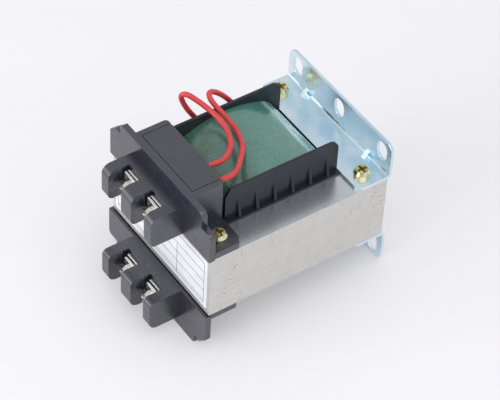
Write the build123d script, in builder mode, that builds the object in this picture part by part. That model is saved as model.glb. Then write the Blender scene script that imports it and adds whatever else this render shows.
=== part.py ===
from build123d import *

import os
from math import atan2, cos, degrees, pi, radians, tan

os.makedirs("parts", exist_ok=True)

# Panel-mount control transformer on an EI 66 core, in millimetres.
# The origin is the centre of the mounting face: +Y points into the panel, so the transformer stands
# towards -Y, +Z is up and X runs along the coil's axis. Front is the terminal side, at the lowest Y.

# Lamination stack
core_length = 66.0
core_width = 55.0
stack_height = 24.5
tongue_width = 22.0
outer_leg_width = 11.0
yoke_width = 11.0
packet_count = 7

# Mounting plane and the screws through the core
rear_gap = 1.5
bolt_from_side = 5.3
bolt_from_end = 6.2
bolt_diameter = 3.0
bolt_hole_diameter = 3.5
bolt_past_nut = 1.4

# Pan-head screws, nuts and washers
core_head_diameter = 5.5
core_head_height = 2.2
terminal_head_diameter = 5.6
terminal_head_height = 2.2
head_crown_share = 0.74
recess_span = 3.4
recess_width = 1.0
recess_depth = 1.4
recess_taper = 12.0
nut_across_flats = 5.5
nut_height = 2.4
nut_bore_clearance = 0.05
washer_diameter = 7.0
washer_thickness = 0.5
washer_bore = 3.2

# Brackets of bent sheet
sheet = 1.0
bracket_depth = 12.8
bracket_rise = 13.0
bend_radius = 0.8
bracket_front_cut = 2.0
bracket_corner_radius = 3.0
slot_width = 5.0
slot_length = 7.0
slot_from_side = 4.75
slot_above_core = 8.1
bend_gusset_from_side = 10.9
bend_gusset_width = 1.6
bend_gusset_reach = 1.6

# Bobbin
core_fit = 0.15
tube_wall = 1.2
flange_thickness = 1.0
flange_side_clearance = 0.3
flange_rise = 13.2
flange_front_clearance = 1.5
flange_rear_clearance = 0.5
flange_cut_along = 1.8
flange_cut_down = 2.8
flange_corner_radius = 3.0
ledge_reach = 1.6
ledge_thickness = 0.8
rib_count = 6
rib_pitch = 6.6
rib_shift = 0.9
rib_width = 1.0
rib_reach = 1.3
rib_rise = 7.8

# Coil, from the outside in
end_play = 0.1
coil_clearance = 1.8
coil_crown = 11.4
coil_shoulder_inside = 5.7
coil_shoulder = 8.2
coil_corner_inside = 1.6
coil_corner = 4.6
wrap_thickness = 0.7
primary_build = 3.25
insulation_thickness = 0.5

# Terminal block: apron and ears
apron_proud = 1.2
apron_thickness = 2.1
apron_low = 0.6
block_rise = 17.4
left_ear_overhang = 0.1
left_ear_rise = 10.8
diagonal_run = 6.6
notch_width = 2.6
notch_depth = 1.8
notch_along = 0.65
right_ear_overhang = 0.9
right_ear_rise = 11.7
right_ear_width = 4.7
step_radius = 2.0
ear_radius = 1.5

# Terminal block: barrier walls and the root behind them
wall_reach = 11.6
wall_high = 12.2
side_wall = 3.8
middle_wall = 5.6
pocket_width = 7.3
root_depth = 4.1
wall_top_radius = 3.0
wall_foot_radius = 2.0

# Terminal block: wiring housing, cover and feet
housing_half_width = 16.2
housing_reach = 12.2
side_rim = 2.05
front_rim = 0.7
rear_wall = 1.4
floor_thickness = 1.5
housing_corner_radius = 1.2
post_size = 2.2
cover_thickness = 1.0
cover_gap = 0.2
cover_corner_radius = 0.8
lead_mouth_height = 4.6
lead_mouth_end_gap = 0.15
foot_thickness = 2.3
foot_side_gap = 0.1
foot_reach = 11.7
foot_cut_across = 1.4
foot_cut_along = 2.4

# Terminals
plate_width = 6.0
plate_thickness = 1.0
plate_low = 2.0
plate_high = 10.9
tail_width = 4.2
tail_reach = 9.0
tail_fit = 0.15
plate_gap = 0.1
clamp_gap = 0.4
clamp_thickness = 0.9
clamp_low = 2.4
clamp_lip = 0.5
terminal_height = 6.4
terminal_shank = 7.0
terminal_bore = 3.2
terminal_bore_depth = 5.2

# Rating label
label_side_edge = 1.4
label_low_edge = 2.0
label_thickness = 0.15
label_corner_radius = 0.5

# Leads
lead_diameter = 1.8
lead_fit = 0.15
solder_fit = 0.02
left_lead_wall_x = 5.7
right_lead_wall_x = 12.8
lead_wall_below_cover = 1.15
lead_exit_rise = 4.4
lead_straight = 1.6

# Places that follow from the sizes above
core_centre_y = -(rear_gap + core_length / 2)
core_front_y = core_centre_y - core_length / 2
core_top = stack_height / 2
window_length = core_width - 2 * yoke_width
window_width = (core_length - tongue_width) / 2 - outer_leg_width
window_from_centre = tongue_width / 2 + window_width / 2
window_outer = core_length / 2 - outer_leg_width
packet_height = stack_height / packet_count
bolt_x = core_width / 2 - bolt_from_side
front_bolt_y = core_front_y + bolt_from_end
rear_bolt_y = core_front_y + core_length - bolt_from_end

flange_outer_x = window_length / 2 - flange_side_clearance
flange_front_y = core_centre_y - window_outer + flange_front_clearance
flange_rear_y = core_centre_y + window_outer - flange_rear_clearance
flange_top = core_top + flange_rise
coil_half_length = window_outer - coil_clearance
coil_shoulder_from_centre = coil_half_length - coil_shoulder_inside
coil_corner_from_centre = coil_half_length - coil_corner_inside

apron_front_y = core_front_y - apron_proud
apron_rear_y = apron_front_y + apron_thickness
apron_low_z = core_top + apron_low
block_top = core_top + block_rise
left_end = core_width / 2 + left_ear_overhang
right_end = core_width / 2 + right_ear_overhang
step_x = right_end - right_ear_width
foot_half_width = core_width / 2 - foot_side_gap
foot_rear_y = core_front_y + foot_reach
pocket_back_y = apron_front_y - root_depth
wall_front_y = apron_front_y - wall_reach
barrier_half_width = middle_wall / 2 + pocket_width + side_wall
terminal_x = middle_wall / 2 + pocket_width / 2
housing_rear_y = core_front_y + housing_reach
cover_low = block_top - cover_thickness
cavity_half_width = housing_half_width - side_rim
cavity_front_y = apron_rear_y + front_rim
cavity_rear_y = housing_rear_y - rear_wall
lead_wall_z = cover_low - lead_wall_below_cover
lead_mouth_left_x = left_lead_wall_x - lead_diameter / 2 - lead_mouth_end_gap
lead_mouth_right_x = right_lead_wall_x + lead_diameter / 2 + lead_mouth_end_gap

terminal_z = core_top + terminal_height
plate_rear_y = pocket_back_y - plate_gap
plate_front_y = plate_rear_y - plate_thickness
clamp_rear_y = plate_front_y - clamp_gap
clamp_front_y = clamp_rear_y - clamp_thickness
tail_end_y = core_front_y + tail_reach
plate_top = core_top + plate_high
lead_on_tail_z = plate_top + lead_diameter / 2 + solder_fit

tube_half_y = tongue_width / 2 + core_fit + tube_wall
tube_half_z = core_top + core_fit + tube_wall
winding_half_length = flange_outer_x - flange_thickness - end_play

# Lead routes, from the coil's end to the terminal's tail, straight through the housing's lead mouth
rib_ys = [core_centre_y + rib_shift + (i - (rib_count - 1) / 2) * rib_pitch for i in range(rib_count)]
left_lead_exit = (-winding_half_length, (rib_ys[1] + rib_ys[2]) / 2, core_top + lead_exit_rise)
right_lead_exit = (-winding_half_length, (rib_ys[3] + rib_ys[4]) / 2, core_top + lead_exit_rise)
lead_before_wall_y = housing_rear_y + lead_straight
lead_after_wall_y = housing_rear_y - rear_wall - lead_straight
left_lead_points = [
    left_lead_exit,
    (-19.5, left_lead_exit[1], left_lead_exit[2]),
    (-20.3, -42.2, 20.6),
    (-20.7, -44.9, 25.0),
    (-21.6, -46.5, 29.1),
    (-21.4, -46.8, 31.5),
    (-19.9, -45.8, 32.6),
    (-17.5, -43.8, 31.1),
    (-13.5, -41.1, 28.5),
    (-8.3, -40.3, 27.5),
    (-2.9, -40.9, 26.8),
    (1.7, -43.3, 26.5),
    (4.6, -46.8, 26.7),
    (6.1, -50.2, 27.1),
    (left_lead_wall_x, lead_before_wall_y, lead_wall_z),
    (left_lead_wall_x, lead_after_wall_y, lead_wall_z),
    (4.2, -61.0, 25.4),
    (0.4, -61.8, lead_on_tail_z),
    (-4.0, -61.4, lead_on_tail_z),
    (-8.0, -61.6, lead_on_tail_z),
]
right_lead_points = [
    right_lead_exit,
    (-19.0, right_lead_exit[1], right_lead_exit[2]),
    (-19.2, -28.4, 20.5),
    (-19.8, -31.8, 25.1),
    (-19.9, -35.2, 28.4),
    (-19.3, -37.9, 29.9),
    (-17.2, -38.9, 29.4),
    (-14.6, -38.1, 27.5),
    (-9.9, -37.2, 26.1),
    (-3.5, -37.2, 25.2),
    (2.1, -39.3, 25.1),
    (6.4, -42.9, 25.4),
    (10.4, -46.8, 26.1),
    (12.6, -50.2, 26.9),
    (right_lead_wall_x, lead_before_wall_y, lead_wall_z),
    (right_lead_wall_x, lead_after_wall_y, lead_wall_z),
    (12.0, -61.2, 25.6),
    (8.6, -62.2, lead_on_tail_z),
    (4.6, -62.0, lead_on_tail_z),
]


def save(piece, name):
    """Names a finished piece and writes its STEP file."""
    piece.label = name
    export_step(piece, f"parts/{name}.step")


def turned_over(piece):
    """The same piece turned half a turn about the front-to-back axis, for the lower side."""
    return piece.rotate(Axis.Y, 180)


def lamination_packet(outer_shape, yoke_side, low_z):
    """One packet of E or I laminations, with its yoke on the given side of X."""
    with BuildPart() as packet:
        with BuildSketch(Plane.XY.offset(low_z)):
            if outer_shape == "E":
                with Locations((yoke_side * yoke_width / 2, core_centre_y)):
                    Rectangle(core_width - yoke_width, core_length)
                window_middles = [core_centre_y - window_from_centre, core_centre_y + window_from_centre]
                with Locations(*[(0, y) for y in window_middles]):
                    Rectangle(window_length, window_width, mode=Mode.SUBTRACT)
            else:
                with Locations((yoke_side * (core_width - yoke_width) / 2, core_centre_y)):
                    Rectangle(yoke_width, core_length)
            with Locations((yoke_side * bolt_x, front_bolt_y), (yoke_side * bolt_x, rear_bolt_y)):
                Circle(bolt_hole_diameter / 2, mode=Mode.SUBTRACT)
        extrude(amount=packet_height)
    return packet.part


# Core: packets of E laminations turned end for end in turn, closed by packets of I laminations.
e_packets = []
i_packets = []
for layer in range(packet_count):
    e_side = -1 if layer % 2 == 0 else 1
    layer_z = -core_top + layer * packet_height
    e_packets.append(lamination_packet("E", e_side, layer_z))
    i_packets.append(lamination_packet("I", -e_side, layer_z))
save(Compound(children=e_packets), "e_laminations")
save(Compound(children=i_packets), "i_laminations")

# Bobbin: a square tube round the tongue between two flanges that pass through the core's windows
# and stand out above and below it, with a ledge on the yoke and a row of gussets.
with BuildPart() as bobbin:
    with BuildSketch(Plane.YZ):
        with Locations((core_centre_y, 0)):
            Rectangle(2 * tube_half_y, 2 * tube_half_z)
    extrude(amount=flange_outer_x, both=True)
    for side in (-1, 1):
        with BuildSketch(Plane.YZ.offset(side * (flange_outer_x - flange_thickness / 2))) as flange:
            with BuildLine():
                Polyline(
                    (flange_front_y, 0),
                    (flange_front_y, flange_top - flange_cut_down),
                    (flange_front_y + flange_cut_along, flange_top),
                    (flange_rear_y, flange_top),
                    (flange_rear_y, 0),
                )
                mirror(about=Plane.XZ)
            make_face()
            fillet(flange.vertices().group_by(Axis.X)[-1], flange_corner_radius)
        extrude(amount=flange_thickness / 2, both=True)
    with BuildSketch(Plane.YZ):
        with Locations((core_centre_y, 0)):
            Rectangle(tongue_width + 2 * core_fit, stack_height + 2 * core_fit)
    extrude(amount=flange_outer_x, both=True, mode=Mode.SUBTRACT)
    ledge_length = flange_rear_y - flange_front_y
    for side in (-1, 1):
        for level in (-1, 1):
            with BuildSketch(Plane.XZ.offset(-flange_rear_y)):
                with Locations((
                    side * (flange_outer_x + ledge_reach / 2),
                    level * (core_top + ledge_thickness / 2),
                )):
                    Rectangle(ledge_reach, ledge_thickness)
            extrude(amount=ledge_length)
            for rib_y in rib_ys:
                with BuildSketch(Plane.XZ.offset(-rib_y)):
                    with BuildLine():
                        Polyline(
                            (side * flange_outer_x, level * (core_top + ledge_thickness)),
                            (side * (flange_outer_x + rib_reach), level * (core_top + ledge_thickness)),
                            (side * flange_outer_x, level * (core_top + rib_rise)),
                            close=True,
                        )
                    make_face()
                extrude(amount=rib_width / 2, both=True)
    with BuildSketch(Plane.YZ.offset(-flange_outer_x)):
        with Locations(left_lead_exit[1:], right_lead_exit[1:]):
            Circle(lead_diameter / 2 + lead_fit)
    extrude(amount=flange_thickness, mode=Mode.SUBTRACT)
save(bobbin.part, "bobbin")


def coil_section(inset):
    """The coil's section across its axis at a depth below its outer face."""
    with BuildSketch() as section:
        with BuildLine():
            ThreePointArc(
                (core_centre_y - coil_shoulder_from_centre, core_top + coil_shoulder),
                (core_centre_y, core_top + coil_crown),
                (core_centre_y + coil_shoulder_from_centre, core_top + coil_shoulder),
            )
            for end in (-1, 1):
                side_y = core_centre_y + end * coil_half_length
                ThreePointArc(
                    (core_centre_y + end * coil_shoulder_from_centre, core_top + coil_shoulder),
                    (core_centre_y + end * coil_corner_from_centre, core_top + coil_corner),
                    (side_y, core_top),
                )
                Line((side_y, core_top), (side_y, 0))
            mirror(about=Plane.XZ)
        make_face()
        if inset:
            offset(amount=-inset, kind=Kind.INTERSECTION, mode=Mode.REPLACE)
    return section.sketch


def coil_layer(outer_inset, inner_inset):
    """A layer of the coil between two depths below its outer face; no inner depth ends at the tube."""
    with BuildPart() as layer:
        with BuildSketch(Plane.YZ):
            add(coil_section(outer_inset))
            if inner_inset is None:
                with Locations((core_centre_y, 0)):
                    Rectangle(2 * tube_half_y, 2 * tube_half_z, mode=Mode.SUBTRACT)
            else:
                add(coil_section(inner_inset), mode=Mode.SUBTRACT)
        extrude(amount=winding_half_length, both=True)
    return layer.part


# Coil: primary on the tube, insulation, secondary, and the green tape wrapped over it all.
primary_inset = coil_half_length - tube_half_y - primary_build
insulation_inset = primary_inset - insulation_thickness
save(coil_layer(0, wrap_thickness), "outer_wrap")
save(coil_layer(wrap_thickness, insulation_inset), "secondary_winding")
save(coil_layer(insulation_inset, primary_inset), "winding_insulation")
save(coil_layer(primary_inset, None), "primary_winding")

# Bracket: sheet bent to a right angle over the bend radius, slots in the flange on the panel.
with BuildPart() as bracket:
    with BuildSketch(Plane.YZ) as angle:
        with BuildLine():
            Polyline(
                (-bracket_depth, core_top),
                (0, core_top),
                (0, core_top + bracket_rise),
                (-sheet, core_top + bracket_rise),
                (-sheet, core_top + sheet),
                (-bracket_depth, core_top + sheet),
                close=True,
            )
        make_face()
        outer_bend = angle.vertices().sort_by_distance((0, core_top))[0]
        fillet(outer_bend, bend_radius + sheet)
        inner_bend = angle.vertices().sort_by_distance((-sheet, core_top + sheet))[0]
        fillet(inner_bend, bend_radius)
    extrude(amount=core_width / 2, both=True)
    front_corners = bracket.edges().filter_by(Axis.Z).group_by(Axis.Y)[0]
    chamfer(front_corners, bracket_front_cut)
    top_corners = bracket.edges().filter_by(Axis.Y).group_by(Axis.Z)[-1]
    fillet(top_corners, bracket_corner_radius)
    bend_gusset_x = core_width / 2 - bend_gusset_from_side
    for side in (-1, 1):
        with BuildSketch(Plane.YZ.offset(side * bend_gusset_x)):
            with BuildLine():
                Polyline(
                    (-sheet, core_top + sheet),
                    (-sheet, core_top + sheet + bend_radius + bend_gusset_reach),
                    (-sheet - bend_radius - bend_gusset_reach, core_top + sheet),
                    close=True,
                )
            make_face()
        extrude(amount=bend_gusset_width / 2, both=True)
    slot_spacing = core_width / 2 - slot_from_side
    with BuildSketch(Plane.XZ):
        with Locations(*[(x, core_top + slot_above_core) for x in (-slot_spacing, 0, slot_spacing)]):
            SlotOverall(slot_length, slot_width, rotation=90)
    extrude(amount=sheet, mode=Mode.SUBTRACT)
    with BuildSketch(Plane.XY.offset(core_top)):
        with Locations((-bolt_x, rear_bolt_y), (bolt_x, rear_bolt_y)):
            Circle(bolt_hole_diameter / 2)
    extrude(amount=sheet, mode=Mode.SUBTRACT)
save(bracket.part, "upper_bracket")
save(turned_over(bracket.part), "lower_bracket")

# Terminal block: one black moulding, seated on the core's front leg.
with BuildPart() as block:
    with BuildSketch(Plane.XZ.offset(-apron_front_y)) as apron:
        with BuildLine():
            Polyline(
                (-left_end, apron_low_z),
                (-left_end, core_top + left_ear_rise),
                (-left_end + diagonal_run, block_top),
                (step_x, block_top),
                (step_x, core_top + right_ear_rise),
                (right_end, core_top + right_ear_rise),
                (right_end, apron_low_z),
                close=True,
            )
        make_face()
        fillet(apron.vertices().sort_by_distance((step_x, block_top))[0], step_radius)
        fillet(apron.vertices().sort_by_distance((right_end, core_top + right_ear_rise))[0], ear_radius)
        diagonal_rise = block_rise - left_ear_rise
        diagonal_slope = degrees(atan2(diagonal_rise, diagonal_run))
        notch_x = -left_end + notch_along * diagonal_run
        notch_z = core_top + left_ear_rise + notch_along * diagonal_rise
        with Locations(Location((notch_x, notch_z, 0), (0, 0, diagonal_slope - 90))):
            SlotOverall(2 * notch_depth, notch_width, mode=Mode.SUBTRACT)
    extrude(amount=-apron_thickness)

    with BuildSketch(Plane.XY.offset(core_top)) as feet:
        with Locations((0, (apron_rear_y + foot_rear_y) / 2)):
            Rectangle(2 * foot_half_width, foot_rear_y - apron_rear_y)
        chamfer(feet.vertices().group_by(Axis.Y)[-1], foot_cut_across, foot_cut_along)
    extrude(amount=foot_thickness)

    housing_length = housing_rear_y - apron_rear_y
    with BuildSketch(Plane.XY.offset(core_top)) as housing:
        with Locations((0, apron_rear_y + housing_length / 2)):
            Rectangle(2 * housing_half_width, housing_length)
        fillet(housing.vertices().group_by(Axis.Y)[-1], housing_corner_radius)
    extrude(amount=block_rise)
    cavity_length = cavity_rear_y - cavity_front_y
    with BuildSketch(Plane.XY.offset(core_top + floor_thickness)) as cavity:
        with Locations((0, cavity_front_y + cavity_length / 2)):
            Rectangle(2 * cavity_half_width, cavity_length)
            post_x = cavity_half_width - post_size / 2
            with Locations(*[(side * post_x, cavity_front_y + post_size / 2) for side in (-1, 1)]):
                Rectangle(post_size, post_size, mode=Mode.SUBTRACT)
    extrude(amount=block_rise, mode=Mode.SUBTRACT)
    with BuildSketch(Plane.XY.offset(cover_low)):
        with Locations((0, (cavity_front_y + housing_rear_y) / 2)):
            Rectangle(2 * cavity_half_width, housing_rear_y - cavity_front_y)
    extrude(amount=cover_thickness, mode=Mode.SUBTRACT)

    with BuildSketch(Plane.XZ.offset(-apron_front_y)):
        with Locations((0, core_top + (apron_low + wall_high) / 2)):
            Rectangle(2 * barrier_half_width, wall_high - apron_low)
    extrude(amount=root_depth)
    wall_sizes = [(-1, side_wall), (0, middle_wall), (1, side_wall)]
    for place, width in wall_sizes:
        wall_x = place * (barrier_half_width - side_wall / 2)
        with BuildSketch(Plane.YZ.offset(wall_x)) as wall:
            with BuildLine():
                Polyline(
                    (apron_front_y, apron_low_z),
                    (wall_front_y, apron_low_z),
                    (wall_front_y, core_top + wall_high),
                    (apron_front_y, core_top + wall_high),
                    close=True,
                )
            make_face()
            fillet(wall.vertices().sort_by_distance((wall_front_y, core_top + wall_high))[0], wall_top_radius)
            fillet(wall.vertices().sort_by_distance((wall_front_y, apron_low_z))[0], wall_foot_radius)
        extrude(amount=width / 2, both=True)

    with BuildSketch(Plane.XZ.offset(-pocket_back_y)):
        with Locations((-terminal_x, terminal_z), (terminal_x, terminal_z)):
            Circle(terminal_bore / 2)
    extrude(amount=-terminal_bore_depth, mode=Mode.SUBTRACT)
    with BuildSketch(Plane.XZ.offset(-pocket_back_y)):
        with Locations(
            (-terminal_x, plate_top - plate_thickness / 2),
            (terminal_x, plate_top - plate_thickness / 2),
        ):
            Rectangle(tail_width + 2 * tail_fit, plate_thickness + 2 * tail_fit)
    extrude(amount=pocket_back_y - cavity_front_y, mode=Mode.SUBTRACT)
    with BuildSketch(Plane.XZ.offset(-housing_rear_y)):
        with Locations(((lead_mouth_left_x + lead_mouth_right_x) / 2, cover_low - lead_mouth_height / 2)):
            Rectangle(lead_mouth_right_x - lead_mouth_left_x, lead_mouth_height)
    extrude(amount=rear_wall, mode=Mode.SUBTRACT)
    with BuildSketch(Plane.XY.offset(core_top)):
        with Locations((-bolt_x, front_bolt_y), (bolt_x, front_bolt_y)):
            Circle(bolt_hole_diameter / 2)
    extrude(amount=foot_thickness, mode=Mode.SUBTRACT)
save(block.part, "upper_terminal_block")
save(turned_over(block.part), "lower_terminal_block")

# Cover let into the top of the wiring housing, flush with its rim and with the apron.
with BuildPart() as cover:
    with BuildSketch(Plane.XY.offset(cover_low)) as cover_outline:
        cover_front_y = cavity_front_y + cover_gap
        with Locations((0, (cover_front_y + housing_rear_y) / 2)):
            Rectangle(2 * (cavity_half_width - cover_gap), housing_rear_y - cover_front_y)
        fillet(cover_outline.vertices().group_by(Axis.Y)[-1], cover_corner_radius)
    extrude(amount=cover_thickness)
save(cover.part, "upper_cover")
save(turned_over(cover.part), "lower_cover")


def pan_head_screw(head_diameter, head_height, shank_length):
    """A pan-head screw with a cross recess: head up from the origin, shank down."""
    head_radius = head_diameter / 2
    crown_radius = head_radius * head_crown_share
    with BuildPart() as screw:
        with BuildSketch(Plane.XZ):
            with BuildLine():
                Polyline(
                    (0, 0),
                    (head_radius, 0),
                    (head_radius, head_height / 2),
                    (crown_radius, head_height),
                    (0, head_height),
                    close=True,
                )
            make_face()
        revolve(axis=Axis.Z)
        with BuildSketch(Plane.XY.offset(head_height)):
            Rectangle(recess_span, recess_width)
            Rectangle(recess_width, recess_span)
        extrude(amount=-recess_depth, taper=recess_taper, mode=Mode.SUBTRACT)
        with BuildSketch(Plane.XY):
            Circle(bolt_diameter / 2)
        extrude(amount=-shank_length)
    return screw.part


def hexagon_nut():
    """A hexagon nut with its seat at the origin, hanging down from it, its far corners turned off."""
    bore_radius = bolt_diameter / 2 + nut_bore_clearance
    with BuildPart() as nut:
        with BuildSketch():
            RegularPolygon(nut_across_flats / 2, 6, major_radius=False)
            Circle(bore_radius, mode=Mode.SUBTRACT)
        extrude(amount=-nut_height)
        corner_radius = nut_across_flats / 2 / cos(radians(30))
        corner_drop = (corner_radius - nut_across_flats / 2) * tan(radians(30))
        with BuildSketch(Plane.XZ):
            with BuildLine():
                Polyline(
                    (0, 0),
                    (corner_radius, 0),
                    (corner_radius, -nut_height + corner_drop),
                    (nut_across_flats / 2, -nut_height),
                    (0, -nut_height),
                    close=True,
                )
            make_face()
        revolve(axis=Axis.Z, mode=Mode.INTERSECT)
    return nut.part


def plain_washer():
    """A plain washer with its seat at the origin, hanging down from it."""
    with BuildPart() as washer:
        with BuildSketch():
            Circle(washer_diameter / 2)
            Circle(washer_bore / 2, mode=Mode.SUBTRACT)
        extrude(amount=-washer_thickness)
    return washer.part


# Core screws: heads on the upper feet and bracket, washers and nuts under the lower ones.
corners = [
    ("front_left", -bolt_x, front_bolt_y, foot_thickness),
    ("front_right", bolt_x, front_bolt_y, foot_thickness),
    ("rear_left", -bolt_x, rear_bolt_y, sheet),
    ("rear_right", bolt_x, rear_bolt_y, sheet),
]
for corner_name, corner_x, corner_y, grip in corners:
    seat_z = core_top + grip
    shank = 2 * seat_z + washer_thickness + nut_height + bolt_past_nut
    core_screw = pan_head_screw(core_head_diameter, core_head_height, shank)
    save(core_screw.moved(Location((corner_x, corner_y, seat_z))), f"core_screw_{corner_name}")
    save(plain_washer().moved(Location((corner_x, corner_y, -seat_z))), f"washer_{corner_name}")
    nut_z = -seat_z - washer_thickness
    save(hexagon_nut().moved(Location((corner_x, corner_y, nut_z))), f"nut_{corner_name}")


def terminal_plate():
    """Sheet terminal: a plate in the pocket whose tail runs back through the block's wall."""
    with BuildPart() as plate:
        with BuildSketch(Plane.XZ.offset(-plate_rear_y)):
            with Locations((0, (plate_low + plate_high) / 2 + core_top)):
                Rectangle(plate_width, plate_high - plate_low)
            with Locations((0, terminal_z)):
                Circle(bolt_diameter / 2 + nut_bore_clearance, mode=Mode.SUBTRACT)
        extrude(amount=plate_thickness)
        with BuildSketch(Plane.XY.offset(plate_top)):
            with Locations((0, (plate_rear_y + tail_end_y) / 2)):
                Rectangle(tail_width, tail_end_y - plate_rear_y)
        extrude(amount=-plate_thickness)
    return plate.part


def clamp_plate():
    """Square pressure plate under the screw's head, its side edges turned towards the wire."""
    with BuildPart() as clamp:
        with BuildSketch(Plane.XZ.offset(-clamp_rear_y)):
            with Locations((0, (clamp_low + plate_high) / 2 + core_top)):
                Rectangle(plate_width, plate_high - clamp_low)
            with Locations((0, terminal_z)):
                Circle(terminal_bore / 2, mode=Mode.SUBTRACT)
        extrude(amount=clamp_thickness)
        side_edges = clamp.edges().filter_by(Axis.Z).group_by(Axis.Y)[0]
        chamfer(side_edges, clamp_lip)
    return clamp.part


# Terminals: plate, clamp plate and screw in each pocket, above and below.
for side_name, side in (("left", -1), ("right", 1)):
    pocket = Location((side * terminal_x, 0, 0))
    plate = terminal_plate().moved(pocket)
    clamp = clamp_plate().moved(pocket)
    screw = pan_head_screw(terminal_head_diameter, terminal_head_height, terminal_shank)
    screw = screw.moved(Location((side * terminal_x, clamp_front_y, terminal_z), (90, 0, 0)))
    save(plate, f"upper_{side_name}_terminal")
    save(clamp, f"upper_{side_name}_clamp")
    save(screw, f"upper_{side_name}_terminal_screw")
    # Turned over, the upper left pocket becomes the lower right one.
    other_name = "right" if side_name == "left" else "left"
    save(turned_over(plate), f"lower_{other_name}_terminal")
    save(turned_over(clamp), f"lower_{other_name}_clamp")
    save(turned_over(screw), f"lower_{other_name}_terminal_screw")

# Rating label on the core's front face.
with BuildPart() as label:
    with BuildSketch(Plane.XZ.offset(-core_front_y)):
        RectangleRounded(
            core_width - 2 * label_side_edge,
            stack_height - 2 * label_low_edge,
            label_corner_radius,
        )
    extrude(amount=label_thickness)
save(label.part, "rating_label")


def bend_radii(points):
    """The largest arc at each corner: 0.45 of the shorter run over the tangent of half the turn."""
    corners_of_route = [Vector(*point) for point in points]
    radii = []
    for before, corner, after in zip(corners_of_route, corners_of_route[1:], corners_of_route[2:]):
        run_in = corner - before
        run_out = after - corner
        half_turn = radians(run_in.get_angle(run_out)) / 2
        radii.append(0.45 * min(run_in.length, run_out.length) / tan(half_turn))
    return radii


def lead(points):
    """A red lead: straight runs joined by tangent arcs, in one tube."""
    with BuildPart() as tube:
        with BuildLine() as route:
            FilletPolyline(*points, radius=bend_radii(points))
        with BuildSketch(Plane(origin=route.line @ 0, z_dir=route.line % 0)):
            Circle(lead_diameter / 2)
        sweep()
    return tube.part, route.wire().length


for lead_name, points in (("left_lead", left_lead_points), ("right_lead", right_lead_points)):
    tube, route_length = lead(points)
    section_area = pi * (lead_diameter / 2) ** 2
    print(lead_name, "radii", [round(r, 2) for r in bend_radii(points)])
    print(lead_name, "length", round(route_length, 2), "volume ratio", tube.volume / section_area / route_length)
    save(tube, lead_name)
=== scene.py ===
"""Looks of a panel-mount control transformer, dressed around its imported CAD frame."""

import logging
import math
import random
from dataclasses import dataclass, field
from enum import Enum
from typing import Iterable

import bmesh
import bpy
from mathutils import Matrix, Vector

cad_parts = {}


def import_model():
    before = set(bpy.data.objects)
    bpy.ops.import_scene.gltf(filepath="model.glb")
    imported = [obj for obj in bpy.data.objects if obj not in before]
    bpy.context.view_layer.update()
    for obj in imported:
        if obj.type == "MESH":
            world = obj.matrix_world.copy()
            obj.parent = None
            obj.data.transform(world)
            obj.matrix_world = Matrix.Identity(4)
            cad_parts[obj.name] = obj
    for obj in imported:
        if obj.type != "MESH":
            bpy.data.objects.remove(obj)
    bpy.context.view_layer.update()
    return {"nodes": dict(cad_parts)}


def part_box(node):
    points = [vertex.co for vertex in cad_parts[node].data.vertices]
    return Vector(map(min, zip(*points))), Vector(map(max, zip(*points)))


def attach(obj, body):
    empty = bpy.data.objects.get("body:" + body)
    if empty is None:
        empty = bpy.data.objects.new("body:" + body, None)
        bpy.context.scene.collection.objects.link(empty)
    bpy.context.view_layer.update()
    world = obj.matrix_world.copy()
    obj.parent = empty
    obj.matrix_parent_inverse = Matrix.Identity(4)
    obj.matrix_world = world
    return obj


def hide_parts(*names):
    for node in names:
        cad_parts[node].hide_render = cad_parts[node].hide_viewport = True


log = logging.getLogger("transformer")

MM = 0.001
# The part of a noise's range in which most of its values lie.
RAMP_FROM, RAMP_TO = 0.3, 0.7
# The length of one band of the wave texture at a scale of 1.
WAVE_LENGTH = 0.314
# How near corners are welded, which edges are rounded, and how much a face's size counts in its shading.
WELD_M = 1e-6
SHARP_DEG = 40
SHADING_WEIGHT = 60

Colour = tuple[float, float, float]
Point = tuple[float, float, float]
Span = tuple[float, float]


class Side(Enum):
    """Which side of the core a terminal block or bracket sits on."""

    UPPER = "upper"
    LOWER = "lower"


def tinted(colour: Colour, factor: float) -> Colour:
    """The colour made darker or lighter by a factor."""
    return tuple(factor * channel for channel in colour)


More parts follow.
